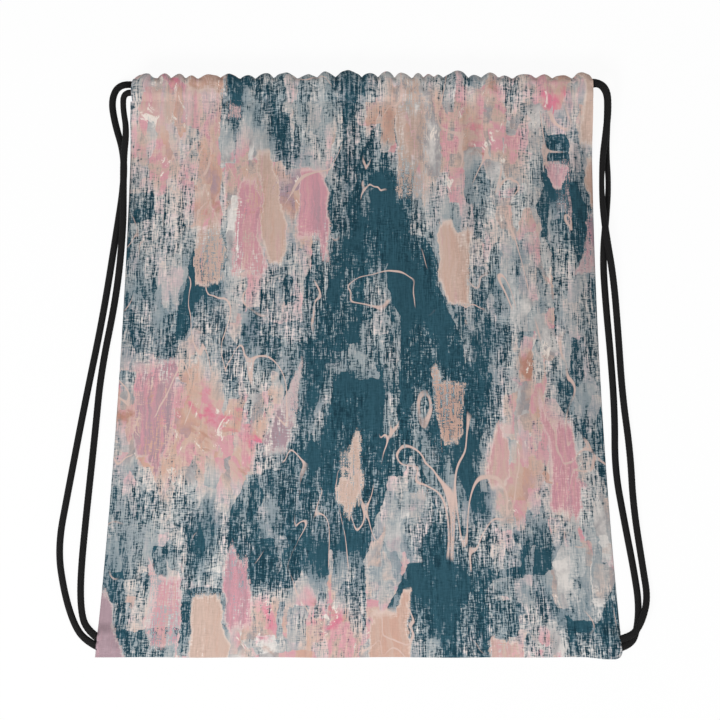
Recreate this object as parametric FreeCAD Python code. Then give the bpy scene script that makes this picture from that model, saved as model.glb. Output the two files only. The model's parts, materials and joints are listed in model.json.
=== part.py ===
"""Drawstring backpack, lying on its back panel: two cloth panels, a gathered casing
along the mouth, and two long cords that run round the casing and down to the corners.

Frame: millimetres, +X across the bag, +Y towards the mouth, +Z up out of the front.
The origin is under the bag's middle, on the surface that it lies on."""

import FreeCAD, Part
import math
import os

V = FreeCAD.Vector

# ---- driving dimensions, mm ----
bottom_width = 381.0  # across the bottom corners
mouth_width = 331.2  # across the gathered mouth
waist_width = 348.4  # across the side edges at waist_y, where they curve in most
waist_y = -18.0
bag_length = 422.0  # bottom edge to the crests of the casing
cloth = 0.8  # one ply of woven polyester, with its nap
clearance = 0.3  # between soft pieces that lie on each other

puff = 25.0  # how far the front panel stands up in the middle of the bag
bottom_rise = 3.0  # the front panel's height at the bottom fold
edge_square = 10.0  # how square the bag's section is at the bottom and at the mouth
middle_round = 2.4  # and how round it is half way up
panel_bays = 20  # lofted along the front panel, shorter towards its ends

casing_height = 21.0  # stitch line to crest
mouth_gap = 9.0  # between the two casings
ruffles = (  # (width, height) of each, from the left; the mouth's width scales the widths
    (18.0, 2.4), (27.0, 3.0), (19.0, 1.8), (31.0, 2.8), (22.0, 2.4), (15.0, 1.4), (29.0, 3.0),
    (18.0, 1.8), (32.0, 2.6), (24.0, 2.2), (16.0, 1.4), (28.0, 2.8), (20.0, 2.0), (25.0, 2.4),
)
slit_length = 15.0  # of each casing end that is open towards the other casing
fold_bevel = 2.4  # bevel of the fold along the crests
pinch_bevel = 1.4  # where the stitch line draws the casing flat

cord_diameter = 5.0
cord_sides = 8  # flats of the braid, one for each carrier
cord_room = 1.2  # that a channel leaves a cord, front to back
cord_margin = 0.32  # of the channel's spare height, below and above its two cords
channel_steps = (0.05, 0.15, 0.37, 0.6, 0.82, 0.94)  # of a cord along a casing
channel_wander = 0.25  # of a cord from its straight line in a casing

seam_width = 9.0  # seam allowance, turned to the inside
seam_thick = 1.2  # its two plies, pressed flat
seam_inset = 7.0  # from the side edge
seam_short = 22.0  # of the bottom seam from the bottom corners
tack_length = 17.0  # bartacked fold that grips the cord ends
tack_width = 8.0
tack_height = 5.6
tack_inset = 0.7  # of its outer face from the widest part of the bag
tack_grip = 2.5  # how far the cord ends go into the fold

# ---- sizes that follow ----
half_length = bag_length / 2
stitch_y = half_length - casing_height
ruffle_depth = max(height for width, height in ruffles)
channel_thick = cord_diameter + cord_room
channel_low = stitch_y + 2 * cloth
channel_high = half_length - ruffle_depth - cloth
casing_thick = channel_thick + 2 * cloth
panel_top = stitch_y - clearance
back_casing_z = casing_thick / 2
front_casing_z = back_casing_z + casing_thick + mouth_gap
front_bottom_z = cloth + clearance
mouth_rise = front_casing_z + cloth / 2 - front_bottom_z
spare = channel_high - channel_low - 2 * cord_diameter
low_cord_y = channel_low + cord_margin * spare + cord_diameter / 2
high_cord_y = channel_high - cord_margin * spare - cord_diameter / 2
tack_face = bottom_width / 2 - tack_inset
sewn_x = tack_face - tack_grip
tack_top_y = -half_length + 21.0
loop_x = mouth_width / 2 - 4.2 - cord_diameter / 2  # furthest centre of a cord's turn

# ---- the free cords: routes chosen by hand, (x, y, z) ----
floor_z = cord_diameter / 2 + 0.1
ride_z = floor_z + 1.1 * cord_diameter  # a cord that lies on another one
left_front_route = [
    (-157.0, low_cord_y, front_casing_z),
    (-168.6, 196.8, front_casing_z - 1.0),
    (-169.4, 185.5, 15.0),
    (-167.0, 170.5, 10.6),
    (-169.4, 151.0, ride_z + 0.4),
    (-169.5, 127.0, ride_z + 0.2),
    (-169.8, 98.0, 7.2),
    (-174.6, 52.0, 3.1),
    (-186.0, -3.0, floor_z),
    (-190.5, -50.0, floor_z),
    (-196.5, -105.0, floor_z),
    (-200.8, -150.0, floor_z),
    (-200.6, -176.0, floor_z),
    (-196.4, -189.6, floor_z),
    (-sewn_x, -196.0, floor_z),
]
left_back_route = [
    (-157.0, high_cord_y, back_casing_z),
    (-172.6, 203.9, back_casing_z - 0.2),
    (-178.6, 193.0, 2.8),
    (-176.2, 176.0, floor_z),
    (-169.4, 154.0, floor_z),
    (-169.7, 130.0, floor_z),
    (-175.2, 95.0, floor_z),
    (-184.6, 36.0, floor_z),
    (-197.6, -26.0, floor_z),
    (-209.4, -88.0, floor_z),
    (-217.3, -130.0, floor_z),
    (-212.6, -163.0, floor_z),
    (-205.0, -187.0, floor_z),
    (-196.6, -197.8, floor_z),
    (-sewn_x, -202.0, floor_z),
]
right_front_route = [
    (157.0, high_cord_y, front_casing_z),
    (170.0, 204.6, front_casing_z - 0.6),
    (178.0, 199.5, 16.0),
    (179.2, 185.5, 11.0),
    (177.6, 168.0, ride_z + 0.4),
    (174.8, 148.0, ride_z),
    (174.4, 123.0, ride_z + 0.1),
    (177.6, 96.0, ride_z + 0.5),
    (183.4, 64.0, 5.4),
    (187.0, 22.0, floor_z),
    (189.8, -20.0, floor_z),
    (195.6, -62.0, floor_z),
    (197.6, -100.0, floor_z),
    (204.8, -146.0, floor_z),
    (208.0, -166.0, 3.4),
    (204.6, -180.0, ride_z + 0.2),
    (199.6, -190.0, ride_z + 0.2),
    (194.2, -194.2, 7.6),
    (sewn_x, -196.8, 3.4),
]
right_back_route = [
    (157.0, low_cord_y, back_casing_z),
    (165.6, 203.4, back_casing_z - 0.2),
    (173.6, 204.4, 3.4),
    (178.9, 197.4, 2.9),
    (179.2, 186.0, floor_z),
    (178.6, 172.0, floor_z),
    (178.0, 155.0, floor_z),
    (180.2, 131.0, floor_z),
    (177.9, 106.0, floor_z),
    (175.7, 78.0, floor_z),
    (177.8, 46.0, floor_z),
    (181.6, 6.0, floor_z),
    (184.4, -34.0, floor_z),
    (184.4, -74.0, floor_z),
    (191.4, -112.0, floor_z),
    (198.4, -148.0, floor_z),
    (201.8, -171.0, floor_z),
    (200.4, -190.0, floor_z),
    (196.0, -200.4, floor_z),
    (sewn_x, -202.6, floor_z),
]


def ramp(a, b, share):
    return a + (b - a) * share


def half_width(y):
    """Half the bag's width at y: each side edge is one arc through three widths."""
    low = V(bottom_width / 2, -half_length, 0)
    mid = V(waist_width / 2, waist_y, 0)
    top = V(mouth_width / 2, stitch_y, 0)
    circle = Part.Arc(low, mid, top).toShape().Curve
    if y >= stitch_y:
        return top.x
    rise = y - circle.Center.y
    return circle.Center.x - math.sqrt(circle.Radius**2 - rise**2)


def box(x0, y0, z0, x1, y1, z1):
    return Part.makeBox(x1 - x0, y1 - y0, z1 - z0, V(x0, y0, z0))


def mirrored(shape):
    return shape.mirror(V(0, 0, 0), V(1, 0, 0))


def spline(points):
    curve = Part.BSplineCurve()
    curve.interpolate(points)
    return curve.toShape()


def prism(outline, z0, thick):
    return Part.Face(Part.Wire(outline)).extrude(V(0, 0, thick)).translate(V(0, 0, z0))


# ---- tacks: the folded, bartacked cloth that grips the cord ends ----
def corner_tack(grow=0.0):
    """The right one. Grown by a clearance it is the notch that the panels leave."""
    block = box(
        tack_face - tack_width - grow,
        tack_top_y - tack_length - grow,
        -grow,
        tack_face + grow,
        tack_top_y + grow,
        tack_height + grow,
    )
    if grow:
        return block
    upright = [e for e in block.Edges if abs(e.tangentAt(e.FirstParameter).z) > 0.9]
    inner = [e for e in upright if e.CenterOfMass.x < tack_face - tack_width / 2]
    return block.makeFillet(2.0, inner)


def notched(panel):
    notch = corner_tack(clearance)
    return panel.cut(notch).cut(mirrored(notch))


# ---- panels ----
def back_panel():
    low, top = bottom_width / 2, mouth_width / 2
    corners = [
        V(-low, -half_length, 0),
        V(low, -half_length, 0),
        V(top, panel_top, 0),
        V(-top, panel_top, 0),
    ]
    right_mid = V(half_width(waist_y), waist_y, 0)
    left_mid = V(-right_mid.x, waist_y, 0)
    outline = [
        Part.LineSegment(corners[0], corners[1]).toShape(),
        Part.Arc(corners[1], right_mid, corners[2]).toShape(),
        Part.LineSegment(corners[2], corners[3]).toShape(),
        Part.Arc(corners[3], left_mid, corners[0]).toShape(),
    ]
    return notched(prism(outline, 0, cloth))


def crown(y):
    """The front panel's rise above its edges at y, and how square its section is."""
    share = (y + half_length) / (panel_top + half_length)
    middle = math.sin(math.pi * min(max(share, 0.0), 1.0))
    rise = ramp(bottom_rise, mouth_rise, share) + puff * middle**0.75
    return rise, ramp(middle_round, edge_square, (2 * share - 1) ** 4)


def front_section(y):
    """Closed section of the front panel at y: an outer curve over an inner one."""
    rise, square = crown(y)
    wide = half_width(y)
    steps = 5

    def curve(half, high):
        points = []
        for i in range(-steps, steps + 1):
            across = math.sin(math.pi / 2 * i / steps)
            z = front_bottom_z + high * (1 - abs(across) ** square)
            points.append(V(half * across, y, z))
        return points

    outer = curve(wide, rise)
    inner = curve(wide - 2 * cloth, rise - cloth)
    return Part.Wire(
        [
            spline(outer),
            Part.LineSegment(outer[-1], inner[-1]).toShape(),
            spline(inner[::-1]),
            Part.LineSegment(inner[0], outer[0]).toShape(),
        ]
    )


def front_panel():
    sections = []
    for i in range(panel_bays + 1):
        share = 0.5 - 0.5 * math.cos(math.pi * i / panel_bays)
        sections.append(front_section(ramp(-half_length, panel_top, share)))
    return notched(Part.makeLoft(sections, True, True))


# ---- casings ----
def ruffle(x0, x1, height):
    """One ruffle: the cloth from the stitch line up to a round crest between two
    valleys, bevelled where it folds over at the crest."""
    valley = half_length - ruffle_depth
    left, right = V(x0, valley, 0), V(x1, valley, 0)
    left_foot, right_foot = V(x0, stitch_y, 0), V(x1, stitch_y, 0)
    crest = Part.Arc(left, (left + right) * 0.5 + V(0, height, 0), right)
    outline = [
        Part.LineSegment(left_foot, left).toShape(),
        crest.toShape(),
        Part.LineSegment(right, right_foot).toShape(),
        Part.LineSegment(right_foot, left_foot).toShape(),
    ]
    block = prism(outline, 0, casing_thick)
    fold = [e for e in block.Edges if isinstance(e.Curve, Part.Circle)]
    return block.makeChamfer(fold_bevel, fold)


def gathered_edge():
    """All the ruffles of a casing, side by side and grown into one."""
    scale = mouth_width / sum(width for width, height in ruffles)
    x, blocks = -mouth_width / 2, []
    for width, height in ruffles:
        blocks.append(ruffle(x, x + width * scale, height))
        x += width * scale
    return blocks[0].multiFuse(blocks[1:]).removeSplitter().Solids[0]


def channel(reach, z):
    """The flattened tube inside a casing, bevelled at its two long sides."""
    half = channel_thick / 2
    tube = box(-reach, channel_low, z - half, reach, channel_high, z + half)
    long_edges = [e for e in tube.Edges if e.BoundBox.XLength > reach]
    return tube.makeChamfer(half / 2, long_edges)


def casing(z, open_side):
    """A gathered casing: ruffled along its fold, pinched at its stitch line, hollow for
    two cords, and open towards the other casing at both ends, where each cord turns
    back."""
    reach = mouth_width / 2
    puffed = gathered_edge().translate(V(0, 0, z - casing_thick / 2))
    pinch = [
        e
        for e in puffed.Edges
        if e.BoundBox.YMax < stitch_y + 0.1 and e.BoundBox.XLength > reach
    ]
    puffed = puffed.makeChamfer(pinch_bevel, pinch)
    puffed = puffed.cut(channel(reach + 1, z))
    z0, z1 = sorted((z, z + open_side * casing_thick))
    slit = box(reach - slit_length, stitch_y + 1.0, z0, reach + 1, half_length + 1, z1)
    return puffed.cut(slit).cut(mirrored(slit))


# ---- seams, turned to the inside ----
def side_seam():
    """Right side seam allowance: two plies that follow the side edge."""
    low_y, top_y = tack_top_y + 2.0, panel_top - 1.0
    z0 = front_bottom_z
    rows = [low_y, (low_y + top_y) / 2, top_y]
    outer = [V(half_width(y) - seam_inset, y, 0) for y in rows]
    inner = [p - V(seam_width, 0, 0) for p in outer]
    outline = [
        Part.Arc(*outer).toShape(),
        Part.LineSegment(outer[-1], inner[-1]).toShape(),
        Part.Arc(*inner[::-1]).toShape(),
        Part.LineSegment(inner[0], outer[0]).toShape(),
    ]
    return prism(outline, z0, seam_thick)


def bottom_seam():
    reach = bottom_width / 2 - seam_short
    low_y = -half_length + clearance
    return box(
        -reach,
        low_y,
        front_bottom_z,
        reach,
        low_y + seam_width,
        front_bottom_z + seam_thick,
    )


# ---- cords ----
def rounded_path(points, label):
    """Straight runs joined by tangent arcs, each as large as its two runs allow."""
    places = [V(*p) for p in points]
    edges, at, radii = [], places[0], []
    for before, corner, after in zip(places, places[1:], places[2:]):
        back, ahead = before - corner, after - corner
        reach = 0.45 * min(back.Length, ahead.Length)
        back.normalize()
        ahead.normalize()
        start, end = corner + back * reach, corner + ahead * reach
        turn = math.pi - back.getAngle(ahead)
        radius = reach / math.tan(turn / 2)
        radii.append(round(radius / cord_diameter, 1))
        inward = (back + ahead).normalize()
        middle = corner + inward * (radius / math.cos(turn / 2) - radius)
        edges.append(Part.LineSegment(at, start).toShape())
        edges.append(Part.Arc(start, middle, end).toShape())
        at = end
    edges.append(Part.LineSegment(at, places[-1]).toShape())
    print(label, "arc radii in diameters:", radii)
    return Part.Wire(edges)


def braid_section(at, ahead):
    """The cord's section: a regular polygon, as wide across its flats as the cord."""
    radius = cord_diameter / 2 / math.cos(math.pi / cord_sides)
    side = V(0, 0, 1).cross(ahead).normalize()
    up = ahead.cross(side).normalize()
    corners = []
    for i in range(cord_sides + 1):
        angle = 2 * math.pi * (i + 0.5) / cord_sides
        reach = side * math.cos(angle) + up * math.sin(angle)
        corners.append(at + reach * radius)
    return Part.makePolygon(corners)


def tube(points, label):
    path = rounded_path(points, label)
    section = braid_section(V(*points[0]), V(*points[1]) - V(*points[0]))
    solid = path.makePipeShell([section], True, False)
    share = solid.Volume / (Part.Face(section).Area * path.Length)
    print(f"{label}: {path.Length:.1f} mm long, volume {share:.4f} of section times it")
    return solid


def middle_of(a, b):
    return tuple((p + q) / 2 for p, q in zip(a, b))


def split_route(route, run):
    """Cut a route half way along one of its runs."""
    cut = middle_of(route[run - 1], route[run])
    return route[:run] + [cut], [cut] + route[run:]


def turn_back(side, front_y, back_y):
    """A cord's half turn from the front casing into the back one, as three corners
    round a circle that the two channels touch."""
    front = V(0, front_y, front_casing_z)
    back = V(0, back_y, back_casing_z)
    centre, half = (front + back) * 0.5, (front - back) * 0.5
    radius = half.Length
    out = side * (loop_x - radius)
    stretch = 1 / math.cos(math.pi / 6)
    corners = []
    for third in (1, 0, -1):
        angle = third * math.pi / 3
        place = centre + half * (stretch * math.sin(angle))
        x = out + side * radius * stretch * math.cos(angle)
        corners.append((x, place.y, place.z))
    return corners


def along_channel(x0, x1, y, z):
    """Points along a channel, closer together near its ends, each a little off line."""
    points = []
    for i, share in enumerate(channel_steps):
        off_line = channel_wander if i % 2 else -channel_wander
        points.append((ramp(x0, x1, share), y + off_line, z))
    return points


def channel_run(front_lead, back_lead, side, front_y, back_y):
    """The part of a cord that the bag holds: in through one casing, round the far
    end of the slit, and back through the other casing."""
    turn = turn_back(side, front_y, back_y)
    near_x, far_x = front_lead[0][0], turn[0][0]
    out = along_channel(near_x, far_x, front_y, front_casing_z)
    back = along_channel(near_x, far_x, back_y, back_casing_z)
    return front_lead[::-1] + out + turn + back[::-1] + back_lead


def cords():
    made = {}
    layout = (
        ("left", left_front_route, left_back_route, 3, 1, low_cord_y, high_cord_y),
        ("right", right_front_route, right_back_route, 4, -1, high_cord_y, low_cord_y),
    )
    for name, front, back, back_runs, far_side, front_y, back_y in layout:
        front_lead, front_free = split_route(front, 3)
        back_lead, back_free = split_route(back, back_runs)
        front_strand, front_end = split_route(front_free, len(front_free) - 2)
        back_strand, back_end = split_route(back_free, len(back_free) - 2)
        run = channel_run(front_lead, back_lead, far_side, front_y, back_y)
        made[f"{name}_cord_in_casing"] = tube(run, f"{name}_cord_in_casing")
        made[f"{name}_front_strand"] = tube(front_strand, f"{name}_front_strand")
        made[f"{name}_back_strand"] = tube(back_strand, f"{name}_back_strand")
        made[f"{name}_cord_ends"] = Part.Compound(
            [
                tube(front_end, f"{name} front cord end"),
                tube(back_end, f"{name} back cord end"),
            ]
        )
    return made


def main():
    seam = side_seam()
    tack = corner_tack()
    parts = {
        "front_panel": front_panel(),
        "back_panel": back_panel(),
        "front_casing": casing(front_casing_z, -1),
        "back_casing": casing(back_casing_z, 1),
        "left_side_seam": mirrored(seam),
        "right_side_seam": seam,
        "bottom_seam": bottom_seam(),
        "left_corner_tack": mirrored(tack),
        "right_corner_tack": tack,
    }
    parts.update(cords())
    os.makedirs("parts", exist_ok=True)
    for name, shape in parts.items():
        b = shape.BoundBox
        print(
            f"{name}: solids {len(shape.Solids)}, valid {shape.isValid()}, "
            f"x {b.XMin:.1f}..{b.XMax:.1f} y {b.YMin:.1f}..{b.YMax:.1f} "
            f"z {b.ZMin:.2f}..{b.ZMax:.2f}"
        )
        shape.exportStep(f"parts/{name}.step")


main()
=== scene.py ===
"""Looks of a printed drawstring backpack that lies on its back: gathered cloth, braided
cords, thread and a plain white studio. Everything is in metres, in the CAD model's frame."""

import bisect
import json
import math

import bmesh
import bpy
from mathutils import Matrix, Vector, noise


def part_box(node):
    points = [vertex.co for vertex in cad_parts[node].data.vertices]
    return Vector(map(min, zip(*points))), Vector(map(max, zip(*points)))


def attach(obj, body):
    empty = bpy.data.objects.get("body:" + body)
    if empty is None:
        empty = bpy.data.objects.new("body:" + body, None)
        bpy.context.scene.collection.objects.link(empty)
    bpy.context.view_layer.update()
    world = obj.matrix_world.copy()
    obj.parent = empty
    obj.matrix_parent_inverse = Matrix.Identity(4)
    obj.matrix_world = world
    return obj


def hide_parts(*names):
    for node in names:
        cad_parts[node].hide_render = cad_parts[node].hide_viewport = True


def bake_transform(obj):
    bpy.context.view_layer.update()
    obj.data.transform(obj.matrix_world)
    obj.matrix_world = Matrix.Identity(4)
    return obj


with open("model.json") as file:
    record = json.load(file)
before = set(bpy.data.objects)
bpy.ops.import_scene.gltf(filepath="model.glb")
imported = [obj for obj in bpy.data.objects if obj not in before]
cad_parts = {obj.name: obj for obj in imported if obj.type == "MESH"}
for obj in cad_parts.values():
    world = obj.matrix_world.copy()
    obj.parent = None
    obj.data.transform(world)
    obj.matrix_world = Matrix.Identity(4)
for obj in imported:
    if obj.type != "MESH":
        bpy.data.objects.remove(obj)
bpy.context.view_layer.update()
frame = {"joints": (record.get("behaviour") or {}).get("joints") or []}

# ---- sizes read from the frame ----
back_low, back_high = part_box("back_panel")
front_casing_low, front_casing_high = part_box("front_casing")
back_casing_low, back_casing_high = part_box("back_casing")
bottom_half = back_high.x
bottom_y = back_low.y
mouth_half = front_casing_high.x
stitch_y = front_casing_low.y
casing_height = front_casing_high.y - stitch_y
front_casing_z = (front_casing_low.z + front_casing_high.z) / 2
back_casing_z = (back_casing_low.z + back_casing_high.z) / 2
panel_length = stitch_y - bottom_y

# ---- sizes of the cloth ----
signs = {"left": -1, "right": 1}
ply = 0.0005  # one ply of the woven polyester
waist_half, waist_y = 0.1742, -0.018  # where the side edges curve in most
lean = 0.002  # of the mouth towards the right, against the bottom
edge_roll = 0.0009  # radius of the turned edges along the side and bottom seams
seam_z = 0.0007  # height of the seam line, between the two panels
puff = 0.025  # how far the front panel stands up in the middle
slit_start = 0.148  # the side seams end here, below the casing
corner_round = 0.006  # of the bottom right corner
bottom_rise = 0.0014  # of the bottom edge, apart from its right end
tack_bulge, tack_reach = 0.0027, 0.022  # of the front panel over a corner tack
cuff_half = 0.0037  # half the thickness of a casing round its cords
casing_girth = 2 * casing_height + 0.004  # flat length of the cloth in a casing
valley_drop, end_drop = 0.0039, 0.0006  # of the ruffles' valleys below the top, and at an end
slit_begins = 0.1506  # the casings' inner plies are open from here out, for the cords
slit_low, slit_high = 0.95, 0.56  # the slit's edges, as shares of the way round
allowance_width, allowance_thickness = 0.0102, 0.0008
above_floor = ply + 0.0001  # height of the back panel's inner face, where allowances lie
panel_grid, casing_grid = (130, 250), (200, 48)  # faces across and along each half

# Ruffles of one half of the mouth, from the middle outwards: (width, height), in mm.
left_ruffles = (
    (18.8, 5.1), (13.2, 3.5), (13.9, 2.4), (17.1, 3.9), (13.0, 3.9), (11.0, 3.1),
    (14.3, 3.5), (16.1, 2.8), (9.0, 2.5), (10.1, 3.3), (9.6, 3.3), (19.5, 3.7),
)
right_ruffles = (
    (11.3, 3.5), (12.0, 4.8), (12.5, 4.1), (8.4, 3.7), (7.1, 2.9), (6.6, 2.1),
    (17.9, 5.3), (9.0, 2.3), (12.5, 3.7), (10.1, 1.9), (16.1, 3.1), (12.0, 2.6),
    (14.9, 2.3), (14.2, 3.7),
)

# ---- the cords ----
cord_diameter = 0.005
carriers, braid_pitch = 8, 0.0025  # bundles of yarn each way round a cord, and their pitch
cord_step, cord_sides = 0.0005, 40  # of a cord's tube
floor_z = 0.0026  # centre of a cord that lies on the floor
left_front_route = (
    (-0.157, 0.1959, 0.0207), (-0.1686, 0.1968, 0.0197), (-0.1694, 0.1855, 0.015),
    (-0.167, 0.1705, 0.0106), (-0.1694, 0.151, 0.0085), (-0.1695, 0.127, 0.0083),
    (-0.1698, 0.098, 0.0072), (-0.1746, 0.052, 0.0031), (-0.186, -0.003, floor_z),
    (-0.1905, -0.05, floor_z), (-0.1965, -0.105, floor_z), (-0.2008, -0.15, floor_z),
    (-0.2006, -0.176, floor_z), (-0.1964, -0.1896, floor_z), (-0.1873, -0.196, floor_z),
)
left_back_route = (
    (-0.157, 0.2029, 0.0039), (-0.1726, 0.2039, 0.0037), (-0.1786, 0.193, 0.0028),
    (-0.1762, 0.176, floor_z), (-0.1694, 0.154, floor_z), (-0.1697, 0.13, floor_z),
    (-0.1752, 0.095, floor_z), (-0.1846, 0.036, floor_z), (-0.1976, -0.026, floor_z),
    (-0.2094, -0.088, floor_z), (-0.2173, -0.13, floor_z), (-0.2126, -0.163, floor_z),
    (-0.205, -0.187, floor_z), (-0.1966, -0.1978, floor_z), (-0.1873, -0.202, floor_z),
)
right_front_route = (
    (0.157, 0.2029, 0.0207), (0.17, 0.2046, 0.0201), (0.178, 0.1995, 0.016),
    (0.1792, 0.1855, 0.011), (0.1776, 0.168, 0.0085), (0.1748, 0.148, 0.0081),
    (0.1744, 0.123, 0.0082), (0.1776, 0.096, 0.0086), (0.1834, 0.064, 0.0054),
    (0.187, 0.022, floor_z), (0.1898, -0.02, floor_z), (0.1956, -0.062, floor_z),
    (0.1976, -0.1, floor_z), (0.2048, -0.146, floor_z), (0.208, -0.166, 0.0034),
    (0.2046, -0.18, 0.0083), (0.1996, -0.19, 0.0083), (0.1942, -0.1942, 0.0076),
    (0.1873, -0.1968, 0.0034),
)
right_back_route = (
    (0.157, 0.1959, 0.0039), (0.1656, 0.2034, 0.0037), (0.1736, 0.2044, 0.0034),
    (0.1789, 0.1974, 0.0029), (0.1792, 0.186, floor_z), (0.1786, 0.172, floor_z),
    (0.178, 0.155, floor_z), (0.1802, 0.131, floor_z), (0.1779, 0.106, floor_z),
    (0.1757, 0.078, floor_z), (0.1778, 0.046, floor_z), (0.1816, 0.006, floor_z),
    (0.1844, -0.034, floor_z), (0.1844, -0.074, floor_z), (0.1914, -0.112, floor_z),
    (0.1984, -0.148, floor_z), (0.2018, -0.171, floor_z), (0.2004, -0.19, floor_z),
    (0.196, -0.2004, floor_z), (0.1873, -0.2026, floor_z),
)
# A line from a strap's lower end to this place, and a band outside it, where a strand would bend
# as the strap swings; the strands are not bent here.
still_half, still_y, bend_band = 0.1775, 0.2, 0.008
loop_x = 0.1589  # the furthest centre of a cord's turn inside the casing's end
pressed_share, pressed_reach = 1.16, 0.012  # width and length of a cord's flattened sewn end
on_edge = {  # where a soft cord lies on its edge: (y, reach along y, share of its width)
    "left_front_cord": (0.185, 0.018, 0.84),
    "right_front_cord": (0.1325, 0.019, 0.76),
    "right_back_cord": (0.1325, 0.019, 0.78),
}


def mix(a, b, share):
    return a + (b - a) * share


def smooth(value):
    value = min(max(value, 0.0), 1.0)
    return value * value * (3 - 2 * value)


def placed(name, data):
    """A new object in the scene."""
    made = bpy.data.objects.new(name, data)
    bpy.context.scene.collection.objects.link(made)
    return made


# ---- camera ----
def make_camera():
    """Straight above the bag, far away, through a long lens."""
    lens, view_width = 180.0, 0.5184
    data = bpy.data.cameras.new("camera")
    data.lens = lens
    data.sensor_width = 36.0
    data.clip_end = 50
    camera = placed("camera", data)
    distance = view_width * lens / data.sensor_width
    camera.location = (0.0007, 0.005, distance + 0.006)
    bpy.context.scene.camera = camera


# ---- nodes ----
class Shader:
    """A material's node tree, with short calls for what the finishes here need."""

    def __init__(self, name):
        self.material = bpy.data.materials.new(name)
        self.material.use_nodes = True
        self.tree = self.material.node_tree
        self.surface = self.tree.nodes["Principled BSDF"]

    def node(self, kind, inputs=(), **settings):
        made = self.tree.nodes.new("ShaderNode" + kind)
        for key, value in settings.items():
            setattr(made, key, value)
        for key, value in dict(inputs).items():
            self.feed(made.inputs[key], value)
        return made

    def feed(self, socket, value):
        if isinstance(value, bpy.types.NodeSocket):
            self.tree.links.new(value, socket)
        else:
            socket.default_value = value

    def math(self, operation, a, b=0.0):
        return self.node("Math", {0: a, 1: b}, operation=operation).outputs[0]

    def times(self, a, b):
        return self.math("MULTIPLY", a, b)

    def total(self, start, *parts):
        """start, and each part's value times its weight, added up."""
        result = start
        for value, weight in parts:
            inputs = {0: value, 1: weight, 2: result}
            result = self.node("Math", inputs, operation="MULTIPLY_ADD").outputs[0]
        return result

    def stretched(self, vector, x, y, shift=(0.0, 0.0, 0.0)):
        """The vector scaled by x across and y along, and shifted."""
        inputs = {"Vector": vector, "Scale": (x, y, 1.0), "Location": shift}
        return self.node("Mapping", inputs).outputs["Vector"]

    def noise(
        self, vector, x, y, detail=3.0, rough=0.55, twist=0.0, shift=(0.0, 0.0, 0.0), output="Fac"
    ):
        inputs = {
            "Vector": self.stretched(vector, x, y, shift), "Scale": 1.0, "Detail": detail,
            "Roughness": rough, "Distortion": twist,
        }
        return self.node("TexNoise", inputs).outputs[output]

    def warped(self, vector, scale, reach):
        """The vector moved about by up to half of reach, by noise of that scale."""
        push = self.noise(vector, scale, scale, output="Color")
        inputs = {0: push, 1: (reach, reach, 0.0), 2: vector}
        return self.node("VectorMath", inputs, operation="MULTIPLY_ADD").outputs[0]

    def voronoi(self, vector, feature):
        settings = {"distance": "CHEBYCHEV", "feature": feature}
        inputs = {"Vector": vector, "Scale": 1.0}
        return self.node("TexVoronoi", inputs, **settings).outputs

    def cells(self, vector):
        """Blocky cells, one to a unit: three random values for each."""
        made = self.voronoi(vector, "F1")
        return self.node("SeparateColor", {"Color": made["Color"]}).outputs

    def cell_edge(self, vector):
        """How far inside its blocky cell a point is: 0 at the edge."""
        near, far = (self.voronoi(vector, feature)["Distance"] for feature in ("F1", "F2"))
        return self.math("SUBTRACT", far, near)

    def step(self, value, low, high):
        """0 below low, 1 above high, and smooth between them."""
        inputs = {"Value": value, "From Min": low, "From Max": high}
        return self.node("MapRange", inputs, interpolation_type="SMOOTHSTEP").outputs["Result"]

    def blend(self, factor, a, b, way="MIX"):
        inputs = {"Factor": factor, "A": a, "B": b}
        return self.node("Mix", inputs, data_type="RGBA", blend_type=way).outputs["Result"]

    def ramp(self, value, stops):
        made = self.node("ValToRGB", {"Fac": value})
        points = made.color_ramp.elements
        points[0].position, points[0].color = stops[0]
        points[1].position, points[1].color = stops[-1]
        for place, shade in stops[1:-1]:
            points.new(place).color = shade
        return made.outputs["Color"]

    def bump(self, height, strength, distance):
        inputs = {"Height": height, "Strength": strength, "Distance": distance}
        return self.node("Bump", inputs).outputs["Normal"]

    def uv(self):
        return self.node("UVMap", uv_map="cloth").outputs["UV"]

    def finish(self, tone, roughness, **inputs):
        """The material, with its surface's colour, roughness and other inputs set."""
        self.feed(self.surface.inputs["Base Color"], tone)
        self.feed(self.surface.inputs["Roughness"], roughness)
        for key, value in inputs.items():
            self.feed(self.surface.inputs[key.replace("_", " ")], value)
        return self.material


def colour(red, green, blue):
    """An sRGB colour, 0 to 255, as linear light."""
    parts = []
    for value in (red / 255, green / 255, blue / 255):
        parts.append(value / 12.92 if value <= 0.04045 else ((value + 0.055) / 1.055) ** 2.4)
    return (*parts, 1.0)


deep_teal = colour(18, 56, 70)
teal = colour(44, 84, 98)
slate = colour(98, 124, 136)
pale_slate = colour(136, 152, 158)
chalk = colour(218, 212, 207)
cream = colour(228, 216, 207)
beige = colour(200, 174, 161)
peach = colour(198, 158, 142)
rose = colour(206, 150, 160)
mauve = colour(166, 142, 150)
strong_pink = colour(208, 122, 142)
terracotta = colour(176, 130, 112)
ash = colour(150, 146, 148)
scratch_pink = colour(210, 184, 174)

# ---- the printed pattern: areas of the cloth, from its bottom left corner ----
# (x, y, half width, half height, weight): more teal where the weight is above 0.
painted_areas = (
    (0.265, 0.270, 0.100, 0.130, 0.20),
    (0.085, 0.110, 0.075, 0.085, 0.16),
    (0.070, 0.335, 0.060, 0.075, 0.16),
    (0.335, 0.080, 0.050, 0.050, 0.14),
    (0.090, 0.220, 0.080, 0.045, -0.20),
    (0.205, 0.060, 0.075, 0.050, -0.24),
    (0.300, 0.425, 0.085, 0.030, -0.22),
    (0.165, 0.385, 0.060, 0.035, -0.20),
    (0.365, 0.195, 0.035, 0.065, -0.20),
)


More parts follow.
